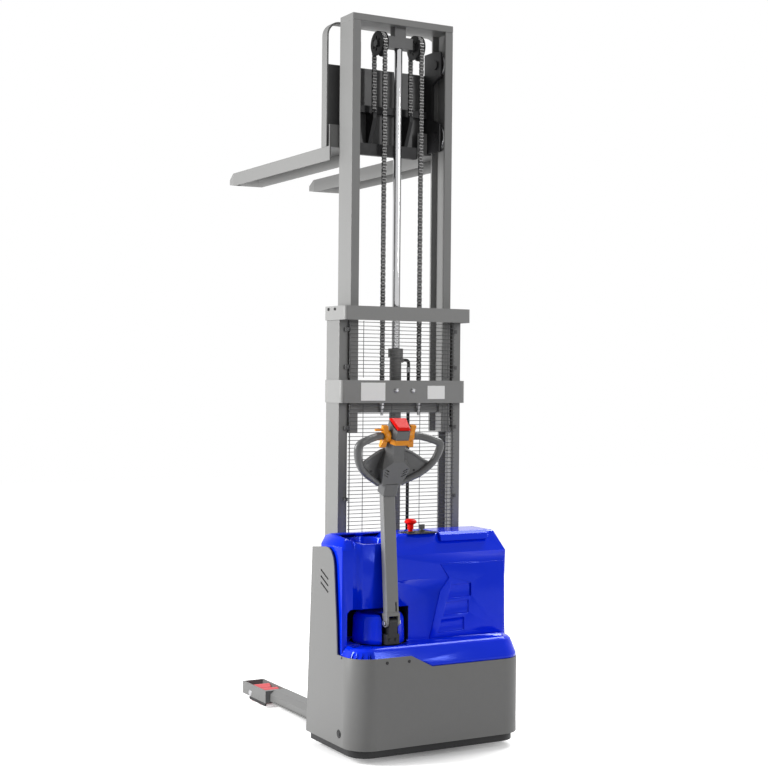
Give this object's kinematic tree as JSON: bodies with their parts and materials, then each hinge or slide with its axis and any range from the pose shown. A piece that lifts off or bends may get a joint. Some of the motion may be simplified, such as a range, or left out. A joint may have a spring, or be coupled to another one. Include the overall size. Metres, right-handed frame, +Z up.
{
  "type": "pedestrian electric stacker",
  "caption": "walk-behind electric fork stacker with a raised two-stage mast, mesh guard, hooded power unit and offset tiller",
  "frame": {"origin": "on the floor under the middle of the bounding box", "axes": "+X to the right of an operator who faces the mast, +Y towards the fork tips, +Z up"},
  "size_m": [0.8, 1.65, 3.033],
  "materials": {
    "frame_paint": "satin grey enamel",
    "plinth_paint": "satin black enamel",
    "hood_plastic": "glossy blue",
    "dash_plastic": "fine texture",
    "black_plastic": "fine texture",
    "head_plastic": "fine texture",
    "orange_plastic": "semi gloss",
    "red_plastic": "semi gloss",
    "label_stock": "bare white film",
    "zinc_steel": "zinc plated",
    "ground_steel": "turned",
    "rod_chrome": "hard chrome",
    "chain_steel": "oiled",
    "dark_iron": "painted",
    "hose_rubber": "smooth",
    "tyre_rubber": "solid polyurethane",
    "roller_pu": "solid polyurethane"
  },
  "bodies": {
    "chassis": {"chassis_frame": "plinth_paint", "leg_left": "frame_paint", "leg_right": "frame_paint", "leg_axles": "zinc_steel", "outer_mast_left": "frame_paint", "outer_mast_right": "frame_paint", "upper_tie": "frame_paint", "lower_tie": "frame_paint", "lift_cylinder": "plinth_paint", "hydraulic_hose": "hose_rubber", "chain_anchors": "zinc_steel", "chain_front": "chain_steel", "wire_guard": "zinc_steel", "guard_clips": "zinc_steel", "label_plates": "label_stock", "tie_fasteners": "zinc_steel", "skirt": "frame_paint", "hood": "hood_plastic", "dash_panel": "dash_plastic", "battery": "black_plastic", "hydraulic_unit": "plinth_paint"},
    "inner_mast": {"inner_mast_left": "frame_paint", "inner_mast_right": "frame_paint", "inner_ties": "frame_paint", "piston_rod": "rod_chrome", "crosshead": "plinth_paint", "chain_wraps": "chain_steel", "chain_rear": "chain_steel"},
    "carriage": {"carriage_frame": "plinth_paint", "backrest_frame": "frame_paint", "backrest_plate": "plinth_paint", "fork_left": "frame_paint", "fork_right": "frame_paint"},
    "pulley_l": {"pulley_left": "dark_iron"},
    "pulley_r": {"pulley_right": "dark_iron"},
    "mast_roller_pair": {"mast_rollers": "ground_steel"},
    "carriage_rollers_up": {"rollers_upper": "ground_steel"},
    "carriage_rollers_low": {"rollers_lower": "ground_steel"},
    "steering": {"drive_unit": "dark_iron", "tiller_base": "plinth_paint", "base_cover": "hood_plastic", "pivot_pin": "zinc_steel"},
    "drive_wheel": {"drive_hub": "dark_iron", "drive_tyre": "tyre_rubber"},
    "tiller": {"tiller_arm": "frame_paint", "head_shell": "head_plastic", "handle_frame": "head_plastic", "head_band": "orange_plastic"},
    "butterfly": {"butterflies": "orange_plastic"},
    "belly": {"belly_switch": "red_plastic"},
    "rocker": {"lift_rocker": "dash_plastic"},
    "estop": {"estop_button": "red_plastic"},
    "key": {"ignition_key": "zinc_steel"},
    "lid": {"battery_lid": "hood_plastic"},
    "castor": {"castor_fork": "dark_iron"},
    "castor_roll": {"castor_wheel": "tyre_rubber"},
    "load_lf": {"load_roller_lf": "roller_pu"},
    "load_lr": {"load_roller_lr": "roller_pu"},
    "load_rf": {"load_roller_rf": "roller_pu"},
    "load_rr": {"load_roller_rr": "roller_pu"}
  },
  "joints": [
    {"name": "lift", "type": "slide", "parent": "chassis", "child": "inner_mast", "axis": [0, 0, 1], "range_m": [-1.197, 0], "deforming": ["chain_front"]},
    {"name": "carriage_lift", "type": "slide", "parent": "inner_mast", "child": "carriage", "axis": [0, 0, 1], "range_m": [-1.197, 0], "deforming": ["chain_rear"]},
    {"name": "pulley_spin_l", "type": "hinge", "parent": "inner_mast", "child": "pulley_l", "pos_m": [-0.089, -0.39751, 2.929], "axis": [1, 0, 0], "range_deg": [-1478.9, 4]},
    {"name": "pulley_spin_r", "type": "hinge", "parent": "inner_mast", "child": "pulley_r", "pos_m": [0.089, -0.39751, 2.929], "axis": [1, 0, 0], "range_deg": [-1478.9, 4]},
    {"name": "mast_roller_spin", "type": "hinge", "parent": "inner_mast", "child": "mast_roller_pair", "pos_m": [0, -0.38951, 1.336], "axis": [1, 0, 0], "range_deg": [-1441.8, 4]},
    {"name": "carriage_roller_spin_low", "type": "hinge", "parent": "carriage", "child": "carriage_rollers_low", "pos_m": [0, -0.38951, 2.56], "axis": [1, 0, 0], "range_deg": [-1441.8, 4]},
    {"name": "carriage_roller_spin_up", "type": "hinge", "parent": "carriage", "child": "carriage_rollers_up", "pos_m": [0, -0.38951, 2.87], "axis": [1, 0, 0], "range_deg": [-4, 1441.8]},
    {"name": "steer", "type": "hinge", "parent": "chassis", "child": "steering", "pos_m": [-0.198, -0.62751, 0.45], "axis": [0, 0, 1], "range_deg": [-14, 14]},
    {"name": "drive_spin", "type": "hinge", "parent": "steering", "child": "drive_wheel", "pos_m": [-0.198, -0.62751, 0.115], "axis": [1, 0, 0], "continuous": true},
    {"name": "tiller_tilt", "type": "hinge", "parent": "steering", "child": "tiller", "pos_m": [-0.198, -0.73551, 0.545], "axis": [1, 0, 0], "range_deg": [0, 80], "stiffness_Nm_per_rad": 26, "springref_deg": -17.19},
    {"name": "butterfly_turn", "type": "hinge", "parent": "tiller", "child": "butterfly", "pos_m": [-0.198, -0.77199, 1.29164], "axis": [1, 0, 0], "range_deg": [-25, 25], "stiffness_Nm_per_rad": 1.2},
    {"name": "belly_press", "type": "slide", "parent": "tiller", "child": "belly", "axis": [0, 0.342, -0.9397], "range_m": [0, 0.003], "stiffness_N_per_m": 900, "springref_m": -0.006},
    {"name": "rocker_press", "type": "slide", "parent": "tiller", "child": "rocker", "axis": [0, -0.9397, -0.342], "range_m": [0, 0.003], "stiffness_N_per_m": 400, "springref_m": -0.003},
    {"name": "estop_press", "type": "slide", "parent": "chassis", "child": "estop", "axis": [0, 0, -1], "range_m": [0, 0.004]},
    {"name": "key_turn", "type": "hinge", "parent": "chassis", "child": "key", "pos_m": [0.016, -0.60551, 0.89], "axis": [0, 0, -1], "range_deg": [0, 90]},
    {"name": "lid_open", "type": "hinge", "parent": "chassis", "child": "lid", "pos_m": [0.183, -0.51451, 0.878], "axis": [-1, 0, 0], "range_deg": [0, 75]},
    {"name": "castor_swivel", "type": "hinge", "parent": "chassis", "child": "castor", "pos_m": [0.25, -0.64751, 0.19], "axis": [0, 0, 1], "continuous": true},
    {"name": "castor_spin", "type": "hinge", "parent": "castor", "child": "castor_roll", "pos_m": [0.25, -0.61551, 0.065], "axis": [1, 0, 0], "continuous": true},
    {"name": "load_spin_lf", "type": "hinge", "parent": "chassis", "child": "load_lf", "pos_m": [-0.222, 0.46449, 0.037], "axis": [1, 0, 0], "continuous": true},
    {"name": "load_spin_lr", "type": "hinge", "parent": "chassis", "child": "load_lr", "pos_m": [-0.222, 0.37249, 0.037], "axis": [1, 0, 0], "continuous": true},
    {"name": "load_spin_rf", "type": "hinge", "parent": "chassis", "child": "load_rf", "pos_m": [0.222, 0.46449, 0.037], "axis": [1, 0, 0], "continuous": true},
    {"name": "load_spin_rr", "type": "hinge", "parent": "chassis", "child": "load_rr", "pos_m": [0.222, 0.37249, 0.037], "axis": [1, 0, 0], "continuous": true}
  ],
  "couplings": [
    {"joint": "carriage_lift", "follows": "lift", "ratio": 1},
    {"joint": "pulley_spin_l", "follows": "lift", "rad_per_m": 21.505},
    {"joint": "pulley_spin_r", "follows": "lift", "rad_per_m": 21.505},
    {"joint": "mast_roller_spin", "follows": "lift", "rad_per_m": 20.964},
    {"joint": "carriage_roller_spin_low", "follows": "lift", "rad_per_m": 20.964},
    {"joint": "carriage_roller_spin_up", "follows": "lift", "rad_per_m": -20.964}
  ]
}
